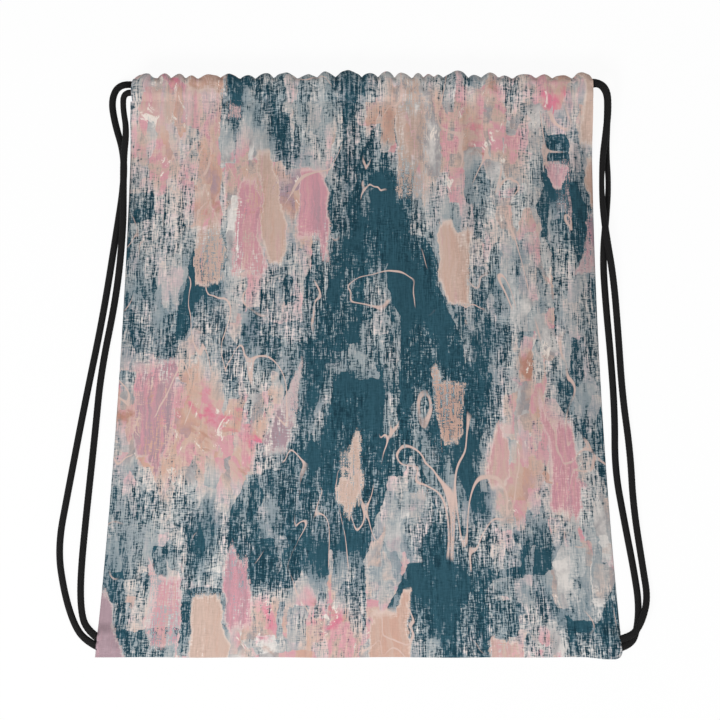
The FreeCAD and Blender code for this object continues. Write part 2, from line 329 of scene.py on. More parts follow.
def woven(shader, uv):
    """Bump of a plain weave of fine yarn."""
    yarns = 2 * math.pi / 0.0007
    across = shader.node("SeparateXYZ", {"Vector": uv})
    warp = shader.math("SINE", shader.times(across.outputs["X"], yarns))
    weft = shader.math("SINE", shader.times(across.outputs["Y"], yarns))
    return shader.bump(shader.times(warp, weft), 0.35, 0.0001)


def canvas_texture(shader, at):
    """How paint takes on rough canvas, about 0: brush streaks, warp and weft."""
    streaks = shader.noise(at, 380.0, 20.0, 5.0, 0.75)
    warp = shader.noise(at, 1100.0, 120.0, 2.0, 0.7)
    weft = shader.noise(at, 200.0, 900.0, 2.0, 0.7)
    rough = shader.total(-1.5, (streaks, 1.1), (warp, 1.1), (weft, 0.8))
    patches = shader.noise(at, 30.0, 16.0, 3.0, 0.6, shift=(6.0, 4.4, 0.0))
    strength = shader.total(0.25, (shader.step(patches, 0.36, 0.62), 1.15))
    return shader.times(rough, strength)


def ground_coat(shader, at, blocks, chips, texture):
    """The lighter paint underneath: clouds of beige, rose, peach and mauve."""
    clouds = shader.noise(at, 15.0, 11.0, 6.0, 0.66, 0.7)
    tone = shader.total(0.0, (clouds, 0.9), (blocks["Red"], 0.18), (chips["Red"], 0.22))
    tone = shader.total(tone, (texture, 0.10))
    stops = (
        (0.38, mauve), (0.48, peach), (0.55, beige), (0.62, rose), (0.68, beige), (0.75, ash),
        (0.86, chalk),
    )
    coat = shader.ramp(tone, stops)
    blush = shader.noise(at, 24.0, 22.0, 5.0, 0.66, 0.5, shift=(3.1, 1.7, 0.0))
    coat = shader.blend(shader.step(blush, 0.57, 0.68), coat, strong_pink)
    clay = shader.noise(at, 19.0, 25.0, 5.0, 0.66, 0.5, shift=(7.4, 5.2, 0.0))
    coat = shader.blend(shader.step(clay, 0.57, 0.70), coat, terracotta)
    pale = shader.noise(at, 70.0, 45.0, 5.0, 0.75, 0.8, shift=(1.3, 8.8, 0.0))
    return shader.blend(shader.step(shader.total(pale, (texture, 0.10)), 0.60, 0.64), coat, cream)


def painted_amount(shader, at):
    """How much teal each part of the cloth has, from its painted areas."""
    soft = shader.warped(at, 14.0, 0.09)
    amount = 0.0
    for x, y, half_x, half_y, weight in painted_areas:
        shift = (-x / half_x, -y / half_y, 0.0)
        local = shader.stretched(soft, 1 / half_x, 1 / half_y, shift)
        length = shader.node("VectorMath", {0: local}, operation="LENGTH")
        near = shader.step(length.outputs["Value"], 1.3, 0.4)
        amount = shader.total(amount, (near, weight))
    return amount


def knife_strokes(shader, at, coat, texture):
    """Palette-knife strokes over the rest: some of the tall blocks, dry in places, with a
    pale ridge of paint along their edges."""
    tall = shader.stretched(at, 40.0, 15.0, (5.5, 2.5, 0.0))
    strokes = shader.cells(tall)
    inset = shader.total(shader.cell_edge(tall), (texture, 0.22))
    chosen = shader.math("GREATER_THAN", strokes["Blue"], 0.78)
    worn = shader.step(shader.total(strokes["Green"], (texture, 2.2)), 0.02, 0.14)
    stroke = shader.times(shader.times(chosen, shader.step(inset, 0.04, 0.09)), worn)
    drag = shader.noise(at, 260.0, 14.0, 4.0, 0.7, shift=(2.2, 7.0, 0.0))
    tint = shader.total(-0.35, (strokes["Red"], 1.0), (drag, 0.7))
    stops = ((0.1, beige), (0.35, peach), (0.6, beige), (0.8, rose), (0.95, mauve))
    tone = shader.ramp(tint, stops)
    ridge = shader.step(inset, 0.16, 0.07)
    tone = shader.blend(shader.times(ridge, 0.5), tone, cream)
    return shader.blend(stroke, coat, tone)


def scratches(shader, at, coat, texture):
    """Thin level lines of a slow noise, in some places only."""
    drawn = shader.noise(at, 17.0, 9.0, 1.5, 0.5, 1.6, shift=(9.0, 3.0, 0.0))
    off_line = shader.math("ABSOLUTE", shader.math("SUBTRACT", drawn, 0.5))
    where = shader.noise(at, 12.0, 12.0, 2.0, shift=(0.5, 6.0, 0.0))
    line = shader.times(shader.step(off_line, 0.011, 0.005), shader.step(where, 0.50, 0.54))
    dry = shader.step(texture, -0.25, -0.05)
    return shader.blend(shader.times(line, dry), coat, scratch_pink)


def printed_cloth(name, way):
    """Matt polyester printed with an abstract dry-brushed painting: teal and slate over
    pinks and beige, palette-knife strokes and scratches. way is -1 to turn it half round."""
    shader = Shader(name)
    at = uv = shader.uv()
    if way < 0:
        at = shader.stretched(uv, -1.0, -1.0, (2 * bottom_half, panel_length + casing_height, 0.0))
    texture = canvas_texture(shader, at)
    ragged = shader.warped(shader.warped(at, 30.0, 0.012), 260.0, 0.0035)
    blocks = shader.cells(shader.stretched(ragged, 24.0, 11.0))
    chips = shader.cells(shader.stretched(ragged, 95.0, 42.0, (2.5, 6.5, 0.0)))
    broad = shader.noise(at, 13.0, 7.0, 5.0, 0.6, 0.5, shift=(4.2, 9.1, 0.0))

    amount = shader.total(
        painted_amount(shader, at), (broad, 0.95), (blocks["Green"], 0.32), (chips["Green"], 0.20)
    )
    coat = ground_coat(shader, at, blocks, chips, texture)
    chalky = shader.step(amount, 0.52, 0.72)
    coat = shader.blend(shader.times(chalky, 0.75), coat, chalk)
    slate_cover = shader.step(shader.total(amount, (texture, 0.60)), 0.55, 0.80)
    slate_tone = shader.blend(shader.step(broad, 0.4, 0.6), pale_slate, slate)
    coat = shader.blend(shader.times(slate_cover, 0.85), coat, slate_tone)
    teal_cover = shader.step(shader.total(amount, (texture, 1.0)), 0.80, 0.87)
    teal_tone = shader.blend(shader.step(texture, -0.1, 0.2), teal, deep_teal)
    coat = shader.blend(teal_cover, coat, teal_tone)
    coat = knife_strokes(shader, ragged, coat, texture)
    coat = scratches(shader, at, coat, texture)
    grain = shader.total(0.97, (texture, -0.45))
    coat = shader.blend(1.0, coat, grain, "MULTIPLY")

    weave = woven(shader, uv)
    return shader.finish(coat, 0.85, Specular_IOR_Level=0.2, Sheen_Weight=0.05, Normal=weave)


def plain_cloth(name):
    """The unprinted inside of the cloth."""
    shader = Shader(name)
    uv = shader.uv()
    slub = shader.noise(uv, 400.0, 40.0)
    tone = shader.blend(shader.step(slub, 0.3, 0.7), colour(222, 219, 216), colour(236, 234, 231))
    return shader.finish(tone, 0.85, Specular_IOR_Level=0.2, Normal=woven(shader, uv))


def cord_black():
    """Matt black braid: yarns lean one way or the other, over and under each other."""
    shader = Shader("braided_cord")
    uv = shader.uv()
    part = shader.node("SeparateXYZ", {"Vector": uv})
    round_it = shader.times(part.outputs["X"], carriers / (math.pi * cord_diameter))
    along_it = shader.times(part.outputs["Y"], 1 / braid_pitch)
    ways = [shader.math(way, round_it, along_it) for way in ("ADD", "SUBTRACT")]
    squares = [shader.math("FLOOR", way) for way in ways]
    upper = shader.math("ABSOLUTE", shader.math("MODULO", shader.math("ADD", *squares), 2.0))
    yarns = []
    for way in ways:
        strand = shader.math("SINE", shader.times(way, 2 * math.pi * 3))
        within = shader.math("ABSOLUTE", shader.math("SINE", shader.times(way, math.pi)))
        yarns.append(shader.total(0.0, (strand, 0.25), (within, 1.0)))
    lifted = shader.total(yarns[0], (upper, shader.math("SUBTRACT", yarns[1], yarns[0])))
    fibres = shader.noise(uv, 2500.0, 900.0, 2.0, 0.7)
    height = shader.total(lifted, (fibres, 0.4))
    # painted shade: the colour is darker where the braid is lower, between the yarns, and paler on
    # the raised yarns
    tone = shader.blend(shader.step(height, 0.2, 1.3), colour(8, 8, 9), colour(31, 30, 30))
    raised = shader.bump(height, 0.6, 0.0003)
    return shader.finish(tone, 0.8, Specular_IOR_Level=0.2, Normal=raised)


def thread_material():
    """Pale sewing thread, darker in small random patches: painted shade that stands for the gaps
    between its twisted strands.
    """
    shader = Shader("sewing_thread")
    coordinates = shader.node("TexCoord").outputs["Object"]
    strands = shader.noise(coordinates, 3000.0, 3000.0, 2.0)
    # the darker colour is painted shade between the strands
    darker, paler = colour(128, 118, 120), colour(160, 150, 150)
    return shader.finish(shader.blend(shader.step(strands, 0.35, 0.65), darker, paler), 0.6)


# ---- meshes ----
def mesh_object(name, work, materials):
    for face in work.faces:
        face.smooth = True
    data = bpy.data.meshes.new(name)
    work.to_mesh(data)
    work.free()
    for material in materials:
        data.materials.append(material)
    return placed(name, data)


def grid(columns, rows, place, flat, keep=None):
    """A bmesh grid: place(a, b) puts the point at shares a across and b along, and
    flat(a, b) gives its place on the flat cloth. Faces outside keep(a, b) are left out."""
    work = bmesh.new()
    uv = work.loops.layers.uv.new("cloth")
    bmesh.ops.create_grid(work, x_segments=columns, y_segments=rows, size=0.5)
    shares = {v: (v.co.x + 0.5, v.co.y + 0.5) for v in work.verts}
    for face in work.faces:
        for loop in face.loops:
            loop[uv].uv = flat(*shares[loop.vert])
    if keep:
        dropped = []
        for face in work.faces:
            middle = [sum(shares[v][i] for v in face.verts) / len(face.verts) for i in (0, 1)]
            if not keep(*middle):
                dropped.append(face)
        bmesh.ops.delete(work, geom=dropped, context="FACES")
    for v in work.verts:
        v.co = place(*shares[v])
    return work


def face_up(work, direction):
    """Turn the sheet so that most of it faces that way, and crease its open edges."""
    work.normal_update()
    total = sum((face.normal * face.calc_area() for face in work.faces), Vector())
    if total.dot(direction) < 0:
        bmesh.ops.reverse_faces(work, faces=work.faces[:])
    for edge in work.edges:
        if edge.is_boundary:
            edge.smooth = False


def thicken(piece, thickness, inside=1):
    """Give the sheet its thickness on the inner side, with the inside's own finish."""
    solid = piece.modifiers.new("ply", "SOLIDIFY")
    solid.thickness = thickness
    solid.offset = -1
    solid.material_offset = inside
    solid.material_offset_rim = 0


def gathered(piece):
    """The piece, with its place baked into its mesh."""
    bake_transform(piece)


def frames_along(line):
    """A point, a direction across and a direction up for each point of a line."""
    frames = []
    across = Vector((0, 0, 1)).cross(line[1] - line[0]).normalized()
    for i, at in enumerate(line):
        ahead = (line[min(i + 1, len(line) - 1)] - line[max(i - 1, 0)]).normalized()
        across = (across - ahead * across.dot(ahead)).normalized()
        frames.append((at, across.copy(), ahead.cross(across)))
    return frames


def tube(line, length, sides, radius):
    """A closed tube along a line. radius(angle, travel) may vary round it and along it."""
    frames = frames_along(line)
    last = len(line) - 1

    def place(a, b):
        at, across, up = frames[round(a * last)]
        angle = 2 * math.pi * b
        return at + (across * math.cos(angle) + up * math.sin(angle)) * radius(angle, a * length)

    def flat(a, b):
        return b * 2 * math.pi * radius(0.0, 0.0), a * length

    work = grid(last, sides, place, flat)
    bmesh.ops.remove_doubles(work, verts=work.verts, dist=1e-6)
    bmesh.ops.holes_fill(work, edges=[e for e in work.edges if e.is_boundary], sides=sides)
    bmesh.ops.recalc_face_normals(work, faces=work.faces)
    return work


# ---- the gather at the mouth ----
class Gather:
    """One half's ruffles, over the flat cloth's half width."""

    def __init__(self, ruffles):
        total = sum(width for width, _ in ruffles)
        self.heights = [height / 1000 for _, height in ruffles]
        self.lines = [0.0]
        for width, _ in ruffles:
            self.lines.append(self.lines[-1] + width / total)
        self.lines[-1] = 1.0

    def find(self, share, merged=1):
        """The ruffle at a share of the half width, and the place within it, 0 to 1."""
        lines = self.lines[::merged]
        if lines[-1] < 1:
            lines = lines + [1.0]
        i = min(max(bisect.bisect_right(lines, share) - 1, 0), len(lines) - 2)
        return i, (share - lines[i]) / (lines[i + 1] - lines[i])

    def crest(self, share):
        """Height of the ruffles' outline: round tops that each lean their own way,
        between sharp valleys, with small puckers in them."""
        i, inner = self.find(share)
        if i == len(self.heights) - 1:
            inner *= 0.72  # the last one ends before it is down again
        leaning = inner ** (0.78 + 0.11 * ((7 * i + 2) % 5))
        uneven = 0.0014 * noise.noise(Vector((share * 7, 2.0, self.heights[0] * 900)))
        uneven *= min(share / 0.06, 1)  # both halves meet at the middle line
        pucker = 0.0007 * noise.noise(Vector((share * 37, 7.0, 0.5)))
        return self.heights[i] * (1 - abs(2 * leaning - 1) ** 1.8) + uneven + pucker

    def swell(self, share):
        """0 in a valley between ruffles, 1 on a ruffle."""
        inner = self.find(share)[1]
        return 1 - abs(2 * inner - 1) ** 2.4

    def wave(self, share, merged):
        """A fold for every so many ruffles, -1 to 1."""
        inner = self.find(min(max(share, 0.0), 1.0), merged)[1]
        return -math.cos(2 * math.pi * inner)


gathers = {"left": Gather(left_ruffles), "right": Gather(right_ruffles)}
# folds below the stitch line: (ruffles in each, height, how far down it is highest)
fold_levels = ((1, 0.0009, 0.007), (2, 0.0016, 0.020), (4, 0.0024, 0.052))


def stitch_wave(gather, share):
    """Height of the folds right at the stitch line, where the thread holds them flat."""
    return 0.0004 * gather.wave(share, 1) * (1 - share**8)


def folds(gather, share, down):
    """Height of the folds that run down from the mouth and merge on the way."""
    sway = 0.012 * noise.noise(Vector((share * 5, down * 14, 0.3))) * min(down / 0.05, 1)
    total = stitch_wave(gather, share) * math.exp(-down / 0.006)
    for merged, height, peak in fold_levels:
        grown = (down / peak) * math.exp(1 - down / peak)
        total += height * grown * gather.wave(share + sway, merged) * (1 - share**8)
    return total


# where the two cords lie in each casing, and how far its cloth stays from their centres
channel_ys = (left_front_route[0][1], right_front_route[0][1])
cord_clearance = cord_diameter / 2 + ply + 0.0005

# ---- panels ----
# creases that the cords' pull draws from each bottom corner: (angle, height, place on it)
corner_creases = ((0.42, 0.0016, 0.060), (0.80, 0.0020, 0.085), (1.15, 0.0014, 0.075))
cord_exits = {"left": (-0.196, -0.202), "right": (-0.1968, -0.2026)}  # along the side seams


def half_width(y):
    """Half the bag's width at y, through its widths at the bottom, waist and mouth."""
    ys = (bottom_y, waist_y, stitch_y)
    widths = (bottom_half, waist_half, mouth_half)
    total = 0.0
    for i in range(3):
        share = widths[i]
        for j in range(3):
            if j != i:
                share *= (y - ys[j]) / (ys[i] - ys[j])
        total += share
    return total


def finer_at_ends(share, strength=0.88):
    return share - strength * math.sin(2 * math.pi * share) / (2 * math.pi)


def outline(x, y):
    """Where a point of a trapezoid with sharp corners is in the bag's real outline: the
    bottom edge waves a little, and the right corner is round."""
    reach = half_width(y)
    past_x = (x - reach) / corner_round + 1
    past_y = (bottom_y - y) / corner_round + 1
    if past_x > 0 and past_y > 0:
        pull = max(past_x, past_y) / math.hypot(past_x, past_y)
        x = reach + (past_x * pull - 1) * corner_round
        y = bottom_y - (past_y * pull - 1) * corner_round
    near_edge = smooth(1 - (y - bottom_y) / 0.05)
    level = bottom_rise * (1 - smooth((x - 0.16) / 0.02))
    level += 0.0005 * noise.noise(Vector((x * 22, 0, 0)))
    return x, y + level * near_edge


def drop(distance):
    """How far a turned edge falls away, at a distance in from the edge."""
    short = max(0.0, edge_roll - distance)
    return edge_roll - math.sqrt(edge_roll**2 - short**2)


def tacked(y):
    """1 where the side seam holds the cords' ends, and 0 along the rest of it."""
    return smooth((y - bottom_y - 0.002) / 0.006) * smooth((-0.184 - y) / 0.010)


def seam_line(y):
    """Height of the side seam, which rises to the cords' centres."""
    return mix(seam_z, cord_diameter / 2 + 0.0001, tacked(y))


def cord_arch(side, y):
    """How far the cloth goes round a cord, above or below the seam line."""
    radius = cord_diameter / 2 + 0.0002
    return max(math.sqrt(max(0.0, radius**2 - (y - out_y) ** 2)) for out_y in cord_exits[side])


def slack(side, share, y):
    """Soft unevenness of cloth that lies loose: broad swells, long shallow folds, and
    creases that fan out from the corner where the cords pull."""
    x = signs[side] * share * half_width(y)
    broad = 0.0022 * noise.noise(Vector((x * 9.0, y * 7.0, 2.0)))
    drift = 0.02 * noise.noise(Vector((x * 6.0, y * 6.0, 5.0)))
    long_folds = 0.0013 * noise.noise(Vector(((x + drift) * 30.0, y * 5.0, 8.0)))
    total = broad + long_folds
    in_x, up_y = bottom_half - abs(x), y - bottom_y
    reach, angle = math.hypot(in_x, up_y), math.atan2(up_y, in_x)
    for direction, height, peak in corner_creases:
        across = (angle - direction - drift * 4) / 0.13
        grown = (reach / peak) * math.exp(1 - reach / peak)
        total += height * grown * math.exp(-across * across)
    return total


def front_height(side, share, y):
    """The front panel's outer face, over a share of its half width."""
    gather = gathers[side]
    along = (y - bottom_y) / panel_length
    middle_bulge = math.sin(math.pi * min(max(along, 0), 1))
    from_side = (1 - share) * half_width(y)
    top = front_casing_z + 0.0006
    low = seam_z + edge_roll
    edge = mix(low, top, smooth((y - slit_start) / (stitch_y - slit_start)))
    middle = max(mix(low, top, along) + puff * middle_bulge ** mix(0.75, 1.5, smooth(along)), edge)
    round_off = 1 - share ** mix(2.4, 6.0, along**4)
    height = mix(edge, middle, round_off) + folds(gather, share, stitch_y - y)
    height += slack(side, share, y) * middle_bulge**0.5 * (1 - share**8)
    near_side, past_edge = tack_reach - from_side, smooth(from_side / 0.0022)
    seam_rise = (seam_line(y) - seam_z) * smooth(near_side / 0.015)
    over_tack = tack_bulge * tacked(y) * past_edge * smooth(near_side / 0.012)
    round_cord = cord_arch(side, y) * (1 - past_edge)
    fall = drop(min(from_side + max(0.0, y - slit_start) * 0.1, y - bottom_y))
    return height + seam_rise + over_tack + round_cord - fall


def back_height(side, share, y):
    """The back panel's outer face: flat on the floor, lifted only at its seams and mouth."""
    gather = gathers[side]
    down = stitch_y - y
    from_side = (1 - share) * half_width(y)
    sewn = smooth((slit_start - y) / 0.01)
    rolled = drop(min(from_side, y - bottom_y)) * seam_z / edge_roll
    near_edge = 1 - smooth(from_side / 0.003)
    corner = (seam_line(y) - seam_z - cord_arch(side, y)) * near_edge
    lift = (back_casing_z - 0.0006) * smooth(1 - down / 0.03) + folds(gather, share, down) * 0.6
    return max((rolled + corner) * sewn + lift, 0.0001)


def panel_half(name, side, height, facing, finish, inside):
    """One half of a panel, from the middle to its side seam. facing is 1 for the front."""
    sign = signs[side]

    def flat(a, b):
        across = finer_at_ends(a) * bottom_half
        return sign * across + bottom_half, finer_at_ends(b) * panel_length

    def place(a, b):
        share, along = finer_at_ends(a), finer_at_ends(b)
        straight_y = bottom_y + along * panel_length
        x, y = outline(sign * share * half_width(straight_y), straight_y)
        return Vector((x + lean * along * along, y, height(side, share, straight_y)))

    work = grid(*panel_grid, place, flat)
    face_up(work, Vector((0, 0, facing)))
    piece = mesh_object(name, work, [finish, inside])
    thicken(piece, ply)
    gathered(piece)
    return piece


# ---- casings ----
def end_pull(side, share):
    """How far the casing's end is drawn in, at a share of the way up to the crest."""
    begins, depth = (0.4, 0.0085) if side == "left" else (0.6, 0.0048)
    over = min(max(0.0, (share - begins) / (1 - begins)), 1.0)
    bulge = 0.0012 * (1 - share) ** 2 if side == "left" else 0.0
    return bulge + depth * (1 - math.sqrt(1 - over * over))


def clear_of_cords(y, z, centre_z):
    """The place in a casing's section, moved out to where the ply clears both cords."""
    for cord_y in channel_ys:
        off_y, off_z = y - cord_y, z - centre_z
        reach = math.hypot(off_y, off_z)
        if 0 < reach < cord_clearance:
            y = cord_y + off_y * cord_clearance / reach
            z = centre_z + off_z * cord_clearance / reach
    return y, z


def casing_point(side, centre_z, facing, share, b):
    """A point of a casing: b goes from the stitch line up the outer ply, over the crest
    and down the inner one."""
    gather = gathers[side]
    swell = gather.swell(share)
    turn = math.pi * b
    up = math.sin(turn) ** 0.72
    near_crest = smooth((up - 0.70) / 0.30)
    tall = casing_height - valley_drop - end_drop * share**2 + gather.crest(share)
    thick = cuff_half * mix(0.16, 1.0, smooth(up / 0.32)) + near_crest * (0.0012 * swell - 0.0014)
    relief = 0.0019 * (swell - 0.45) * smooth(up / 0.3)
    pucker = 0.0003 * noise.noise(Vector((share * 70.0, up * 2.5, facing * 3.0))) * smooth(up * 3)
    outward = math.cos(turn) * (thick + relief + pucker)
    tilt = 0.0016 * noise.noise(Vector((share * 11.0, 0.5, facing))) * up * up
    z = centre_z + facing * outward + tilt + stitch_wave(gather, share) * (1 - smooth(up / 0.3))
    y, z = clear_of_cords(stitch_y + up * tall, z, centre_z)
    pull = end_pull(side, up) * smooth((share - 0.88) / 0.12)
    x = signs[side] * (share * mouth_half - pull) + lean
    return Vector((x, y, max(z, 0.0001)))


def casing_half(name, side, centre_z, facing, finish, inside):
    """One half of a casing: a sleeve round the cords, ruffled along its fold, pinched at
    its stitch line, and open on the inner side at its end, where a cord turns back."""
    sign = signs[side]

    def flat(a, b):
        across = finer_at_ends(a, 0.6) * bottom_half
        return sign * across + bottom_half, panel_length + b * casing_girth

    def place(a, b):
        return casing_point(side, centre_z, facing, finer_at_ends(a, 0.6), b)

    def keep(a, b):
        along = finer_at_ends(a, 0.6) * mouth_half + sign * lean
        return not (along > slit_begins and slit_high < b < slit_low)

    work = grid(*casing_grid, place, flat, keep)
    face_up(work, Vector((0, 1, 0)))
    piece = mesh_object(name, work, [finish, inside])
    thicken(piece, ply)
    gathered(piece)
    return piece


# ---- sewing ----
def thread_radius(*_):
    return 0.00018


def stitch_row(name, side, centre_z, facing, thread):
    """The casing's row of stitches, on the outer face."""
    pitch, length, radius = 0.0030, 0.0020, 0.00016
    count = round(bottom_half / pitch)
    work = bmesh.new()
    for i in range(count):
        share = (i + 0.5) / count
        here = casing_point(side, centre_z, facing, share, 0.004)
        made = bmesh.ops.create_cone(
            work, segments=6, radius1=radius, radius2=radius, depth=length, cap_ends=True
        )
        lean_in = 0.10 if i % 2 else -0.06
        matrix = Matrix.Translation(here + Vector((0, 0, facing * 0.0001)))
        matrix @= Matrix.Rotation(lean_in, 4, "Z") @ Matrix.Rotation(math.pi / 2, 4, "Y")
        bmesh.ops.transform(work, matrix=matrix, verts=made["verts"])
    piece = mesh_object(name, work, [thread])
    gathered(piece)


def zigzag(start, end, across, step):
    """Corners of a zigzag from start to end, as wide as across."""
    count = round((end - start).length / step)
    points = []
    for i in range(count + 1):
        out = across if i % 2 else -across
        points.append(start.lerp(end, i / count) + out / 2)
    return points


def allowance(name, node, line, inward, inside, thread, settle):
    """A seam allowance along a line, pressed flat to the inside, with its raw edge
    overlocked. settle sets what the two pieces move with."""
    width, height = allowance_width, allowance_thickness
    length = sum((b - a).length for a, b in zip(line, line[1:]))
    last = len(line) - 1

    def at(b):
        i = min(int(b * last), last - 1)
        return line[i].lerp(line[i + 1], b * last - i)

    def rise(b):
        """How far the free edge stands up: more near the mouth, as the back panel does."""
        return 0.0002 + 0.0005 * smooth((at(b).y - 0.05) / 0.09)

    def place(a, b):
        wave = 0.0003 * noise.noise(Vector((b * length * 60, a, 1.0))) * a
        return at(b) + inward * (a * width + wave) + Vector((0, 0, height + a * rise(b)))

    def flat(a, b):
        return a * width, b * length

    work = grid(10, 160, place, flat)
    face_up(work, Vector((0, 0, 1)))
    strip = mesh_object(name, work, [inside])
    thicken(strip, height, 0)
    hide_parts(node)
    settle(strip)

    pitch, past, bite = 0.0022, 0.0003, 0.0028  # of the overlock round the raw edge
    corners = []
    count = round(length / pitch)
    for i in range(count + 1):
        reach = width + past if i % 2 else width - bite
        up = height + 0.0001 + rise(i / count)
        corners.append(at(i / count) + inward * reach + Vector((0, 0, up)))
    loops = mesh_object(f"{name}_overlock", tube(corners, length, 5, thread_radius), [thread])
    settle(loops)


def side_seam(side, inside, thread):
    """One side seam's allowance, from above the corner tack to the end of the seam."""
    sign = signs[side]
    line = []
    for i in range(61):
        y = mix(-0.182, slit_start, i / 60)
        along = (y - bottom_y) / panel_length
        x = sign * (half_width(y) - 0.0015) + lean * along * along
        line.append(Vector((x, y, above_floor)))
    allowance(
        f"{side}_allowance", f"{side}_side_seam", line, Vector((-sign, 0, 0)), inside, thread,
        lambda piece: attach(piece, f"{side}_side"),
    )


def bottom_seam(side, inside, thread):
    """One half of the bottom seam's allowance."""
    line = []
    for i in range(31):
        x, y = outline(signs[side] * (bottom_half - 0.020) * i / 30, bottom_y + 0.0015)
        line.append(Vector((x, y, above_floor)))
    allowance(
        f"bottom_allowance_{side}", "bottom_seam", line, Vector((0, 1, 0)), inside, thread,
        lambda piece: gathered(piece),
    )


def under_front(side, x, y):
    """Height just under the front panel, a distance x from the middle."""
    share = min(x / half_width(y), 1.0)
    nearby = (front_height(side, share, max(y + shift, bottom_y)) for shift in (-0.002, -0.001, 0))
    return min(nearby) - ply - 0.0004


def corner_tack(side, finish, inside, thread):
    """The folded cloth that grips the two cord ends inside the side seam, and its bartack."""
    sign = signs[side]
    low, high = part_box(f"{side}_corner_tack")
    face_x = max(abs(low.x), abs(high.x)) - 0.0012
    width, top, bottom = 0.0068, high.z - 0.0001, 0.0011
    bend = (top - bottom) / 2
    around = math.pi * bend
    girth = 2 * width + around

    def place(a, b):
        y = mix(low.y + 0.0025, high.y - 0.0004, b)
        run = a * girth
        pinch = 0.0003 * math.sin(b * 9 * math.pi)
        if run < width:
            x, z = run, top + pinch
        elif run < width + around:
            angle = (run - width) / bend
            x, z = width + bend * math.sin(angle), bottom + bend + bend * math.cos(angle)
        else:
            x, z = width - (run - width - around), bottom
        x = face_x - x * 0.8
        return Vector((sign * x, y, min(z, under_front(side, x, y))))

    def flat(a, b):
        return a * girth, b * (high.y - low.y)

    work = grid(36, 40, place, flat)
    face_up(work, Vector((-sign, 0, 0)))
    tab = mesh_object(f"{side}_tab", work, [finish, inside])
    thicken(tab, ply)
    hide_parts(f"{side}_corner_tack")
    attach(tab, "root")

    start = Vector((sign * (face_x - 0.004), low.y + 0.0035, top + 0.0002))
    end = Vector((start.x, high.y - 0.002, start.z))
    corners = zigzag(start, end, Vector((0.0022, 0, 0)), 0.0004)
    for at in corners:
        at.z = min(at.z, under_front(side, abs(at.x), at.y) + 0.0002)
    loops = tube(corners, (end - start).length, 5, thread_radius)
    bar = mesh_object(f"{side}_bartack", loops, [thread])
    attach(bar, "root")


# ---- cords ----
def smooth_line(points):
    """The cord's own line: a NURBS spline with the route's points as control points."""
    data = bpy.data.curves.new("route", "CURVE")
    data.dimensions = "3D"
    data.resolution_u = 14
    spline = data.splines.new("NURBS")
    spline.points.add(len(points) - 1)
    for target, point in zip(spline.points, points):
        target.co = (*point, 1.0)
    spline.order_u = 3
    spline.use_endpoint_u = True
    holder = placed("route", data)
    line = bpy.data.meshes.new_from_object(holder)
    places = [v.co.copy() for v in line.vertices]
    bpy.data.objects.remove(holder)
    bpy.data.meshes.remove(line)
    return places


def evenly(places, step):
    """The line's points again, a step apart."""
    reached = [0.0]
    for a, b in zip(places, places[1:]):
        reached.append(reached[-1] + (b - a).length)
    count = max(2, round(reached[-1] / step))
    spaced, i = [], 0
    for k in range(count + 1):
        target = reached[-1] * k / count
        while i < len(places) - 2 and reached[i + 1] < target:
            i += 1
        span = reached[i + 1] - reached[i]
        spaced.append(places[i].lerp(places[i + 1], (target - reached[i]) / span))
    return spaced, reached[-1]


def braid_radius(angle, travel):
    """Radius of the braid: raised in diamonds where its carriers cross."""
    turned = travel * math.pi / braid_pitch
    lifted = abs(math.sin(carriers * angle / 2 + turned))
    lifted *= abs(math.sin(carriers * angle / 2 - turned))
    return cord_diameter / 2 - 0.00002 + 0.00016 * (math.sqrt(lifted) - 0.5)


def cord_section(name, line, sewn):
    """The cord's section along its line: round, flattened near its sewn end if it has one,
    and narrow from above where it lies on its edge."""
    last = len(line) - 1
    y0, reach, share = on_edge.get(name, (0.0, 1.0, 1.0))

    def radius(angle, travel):
        at = line[min(round(travel / cord_step), last)]
        pressed = math.exp(-(((at - sewn).length / pressed_reach) ** 2)) if sewn else 0
        edgewise = math.exp(-(((at.y - y0) / reach) ** 2))
        wide = 1 + (pressed_share - 1) * pressed + (share - 1) * edgewise
        tall = min(2 - wide, 1.03)
        oval = wide * tall / math.hypot(tall * math.cos(angle), wide * math.sin(angle))
        return oval * braid_radius(angle, travel)

    return radius


def turn_back(side, front_y, back_y):
    """A cord's half turn from the front casing into the back one, as three corners."""
    front, back = Vector((0, front_y, front_casing_z)), Vector((0, back_y, back_casing_z))
    centre, half = (front + back) / 2, (front - back) / 2
    radius = half.length
    stretch = 1 / math.cos(math.pi / 6)
    corners = []
    for third in (1, 0, -1):
        angle = third * math.pi / 3
        at = centre + half * (stretch * math.sin(angle))
        at.x = side * (loop_x - radius + radius * stretch * math.cos(angle))
        corners.append(tuple(at))
    return corners


def along_channel(x0, x1, y, z):
    """Points along a channel, closer together near its ends, each a little off line."""
    points = []
    for i, share in enumerate((0.05, 0.15, 0.37, 0.6, 0.82, 0.94)):
        off_line = 0.00025 if i % 2 else -0.00025
        points.append((mix(x0, x1, share), y + off_line, z))
    return points


